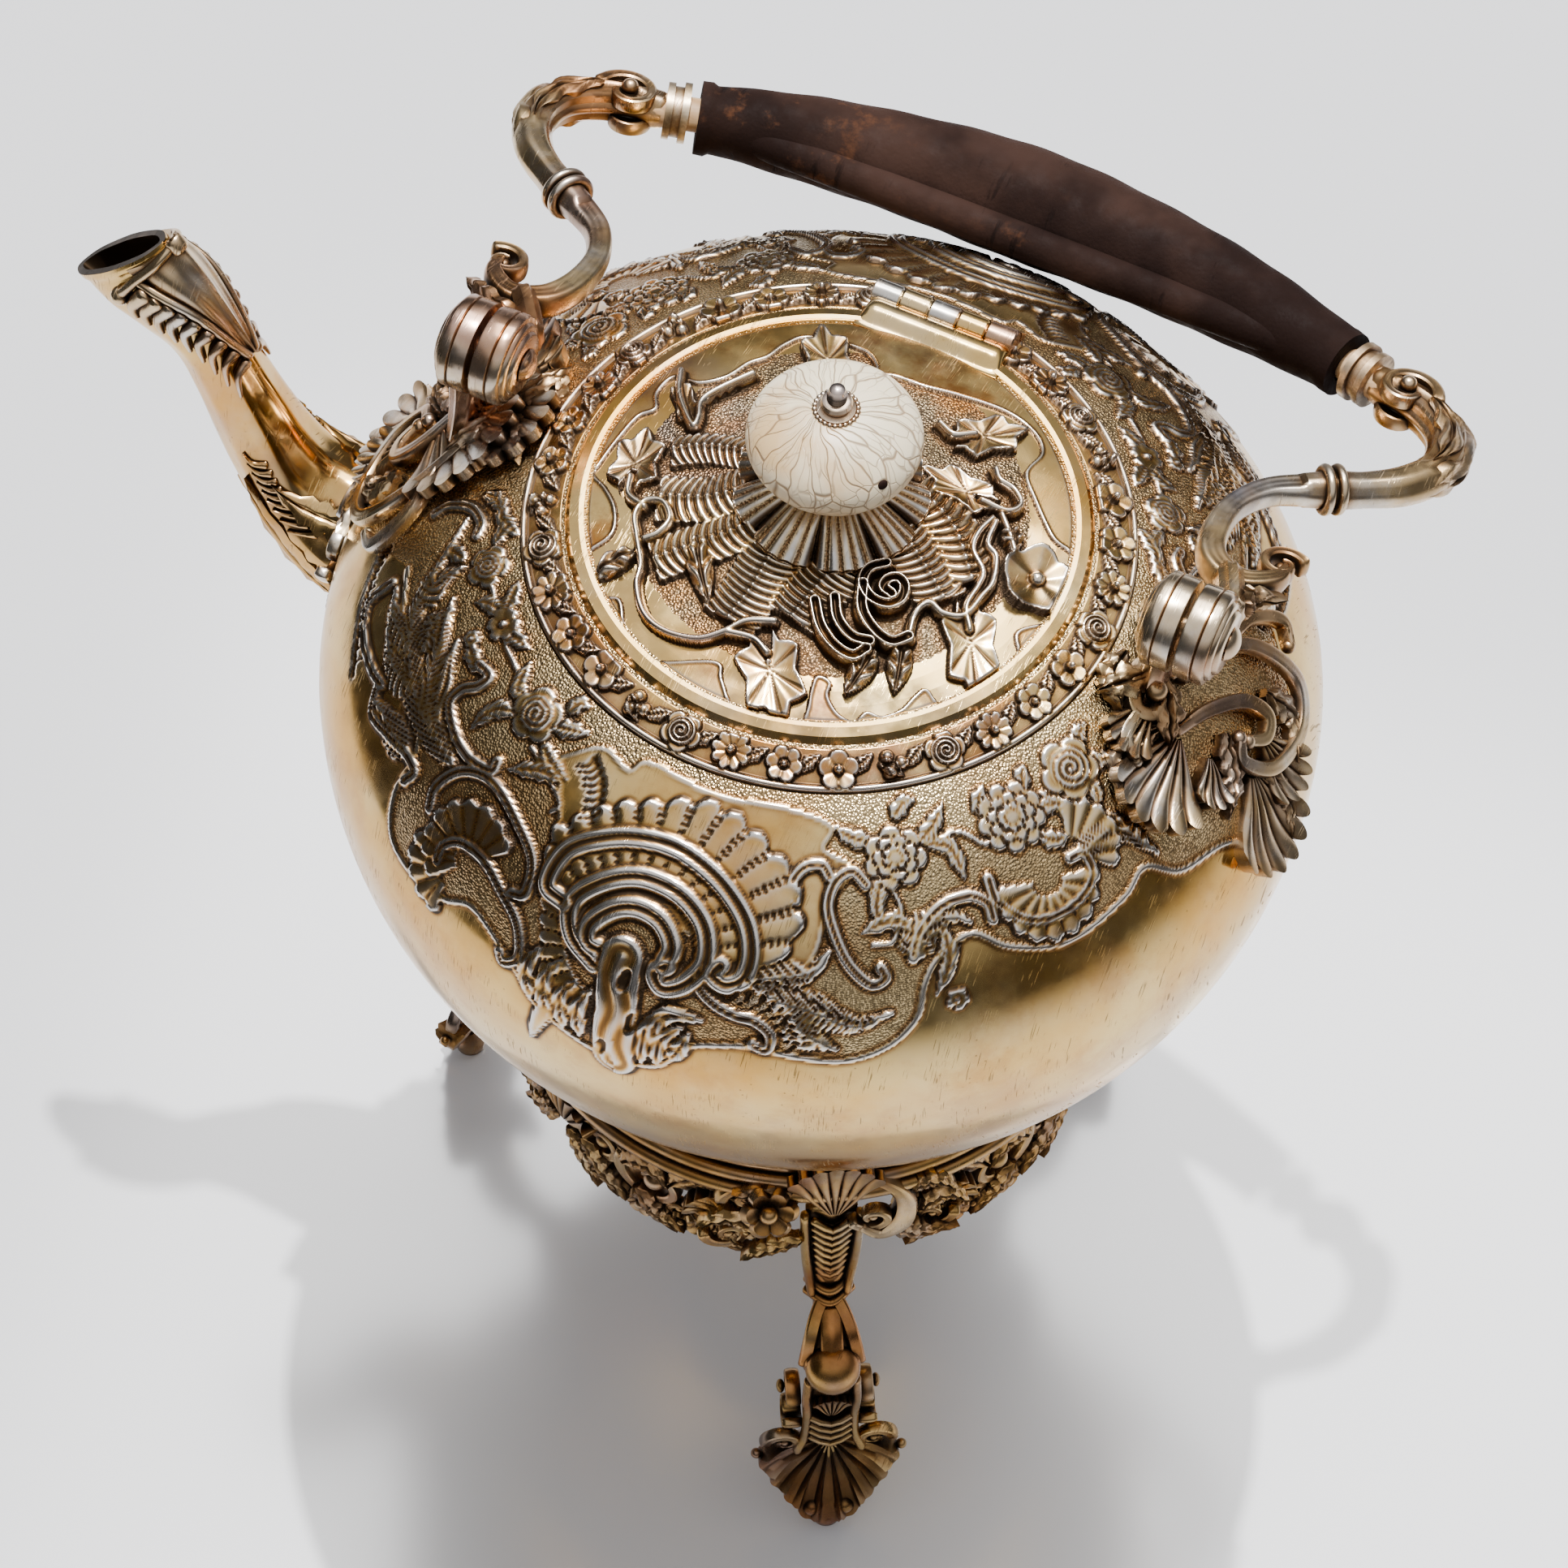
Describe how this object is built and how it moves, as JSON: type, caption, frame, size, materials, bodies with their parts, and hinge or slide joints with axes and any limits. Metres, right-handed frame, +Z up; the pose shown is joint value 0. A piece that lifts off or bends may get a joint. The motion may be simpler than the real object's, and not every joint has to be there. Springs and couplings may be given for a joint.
{
  "type": "tea kettle on stand",
  "caption": "Rococo silver-gilt tea kettle with spout, hinged lid and leather-covered swing handle, on a shell-footed tripod stand with spirit lamp.",
  "frame": {"origin": "on the table, below the kettle's own axis, midway between the three feet", "axes": "+Z up along the kettle's axis; -X towards the spout; +Y towards the lid hinge and the folded handle; the handle swings about a line along X"},
  "size_m": [0.2545, 0.2054, 0.2977],
  "materials": {
    "gilt_polished": "polished silver gilt, fine scratches",
    "gilt_cast": "cast and chased silver gilt, dark in the recesses",
    "gilt_lamp": "plain silver gilt, lightly smoked",
    "silver_worn": "silver with worn gilding and tarnish",
    "silver_worn_relief": "chased silver, oxidised ground",
    "ivory": "polished ivory with brown age cracks",
    "leather": "dark worn leather",
    "grip_wood": "plain, covered",
    "cotton": "twisted cotton"
  },
  "bodies": {
    "stand": {"stand_collar": "gilt_cast", "lamp_ring": "gilt_cast", "apron_panel_1": "gilt_cast", "apron_panel_2": "gilt_cast", "apron_panel_3": "gilt_cast", "leg_cartouche_1": "gilt_cast", "leg_cartouche_2": "gilt_cast", "leg_cartouche_3": "gilt_cast", "leg_1": "gilt_cast", "leg_2": "gilt_cast", "leg_3": "gilt_cast", "foot_shell_1": "gilt_cast", "foot_shell_2": "gilt_cast", "foot_shell_3": "gilt_cast", "lamp_bracket_1": "gilt_cast", "lamp_bracket_2": "gilt_cast", "lamp_bracket_3": "gilt_cast"},
    "kettle": {"kettle_body": "gilt_polished", "base_plate": "gilt_polished", "neck_rim": "gilt_polished", "floral_collar": "gilt_cast", "spout": "gilt_polished", "spout_root": "gilt_cast", "spout_leaf_cap": "gilt_cast", "lug_left": "silver_worn", "lug_right": "silver_worn", "lug_mount_left": "silver_worn", "lug_mount_right": "silver_worn", "pivot_pin_left": "silver_worn", "pivot_pin_right": "silver_worn", "hinge_knuckles": "silver_worn", "hinge_pin": "silver_worn"},
    "handle": {"handle_disc_left": "silver_worn", "handle_disc_right": "silver_worn", "arm_left": "silver_worn", "arm_right": "silver_worn", "ferrule_left": "silver_worn", "ferrule_right": "silver_worn", "grip_core": "grip_wood", "grip_leather": "leather"},
    "lid": {"lid_plate": "gilt_polished", "lid_ring": "gilt_polished", "lid_skirt": "gilt_polished", "lid_hinge_flange": "silver_worn", "lid_vine": "silver_worn_relief", "lid_leaves": "gilt_cast", "lid_rocaille": "silver_worn_relief", "lid_flower": "gilt_cast", "calyx": "silver_worn_relief", "knob": "ivory", "knob_washer": "silver_worn", "knob_stud": "silver_worn", "knob_nut": "silver_worn"},
    "lamp": {"lamp_bowl": "gilt_lamp", "lamp_cover": "gilt_lamp", "wick_tube": "gilt_lamp", "wick": "cotton"},
    "snuffer": {"snuffer_cap": "gilt_lamp"}
  },
  "joints": [
    {"name": "kettle_lift", "type": "slide", "parent": "stand", "child": "kettle", "axis": [0, 0, 1], "range_m": [0, 0.06]},
    {"name": "handle_swing", "type": "hinge", "parent": "kettle", "child": "handle", "pos_m": [0, 0, 0.2676], "axis": [1, 0, 0], "range_deg": [0, 216.8]},
    {"name": "lid_hinge", "type": "hinge", "parent": "kettle", "child": "lid", "pos_m": [0, 0.051, 0.25723], "axis": [-1, 0, 0], "range_deg": [0, 100]},
    {"name": "lamp_lift", "type": "slide", "parent": "stand", "child": "lamp", "axis": [0, 0, 1], "range_m": [0, 0.012]},
    {"name": "snuffer_lift", "type": "slide", "parent": "lamp", "child": "snuffer", "axis": [0, 0, 1], "range_m": [0, 0.012]}
  ]
}
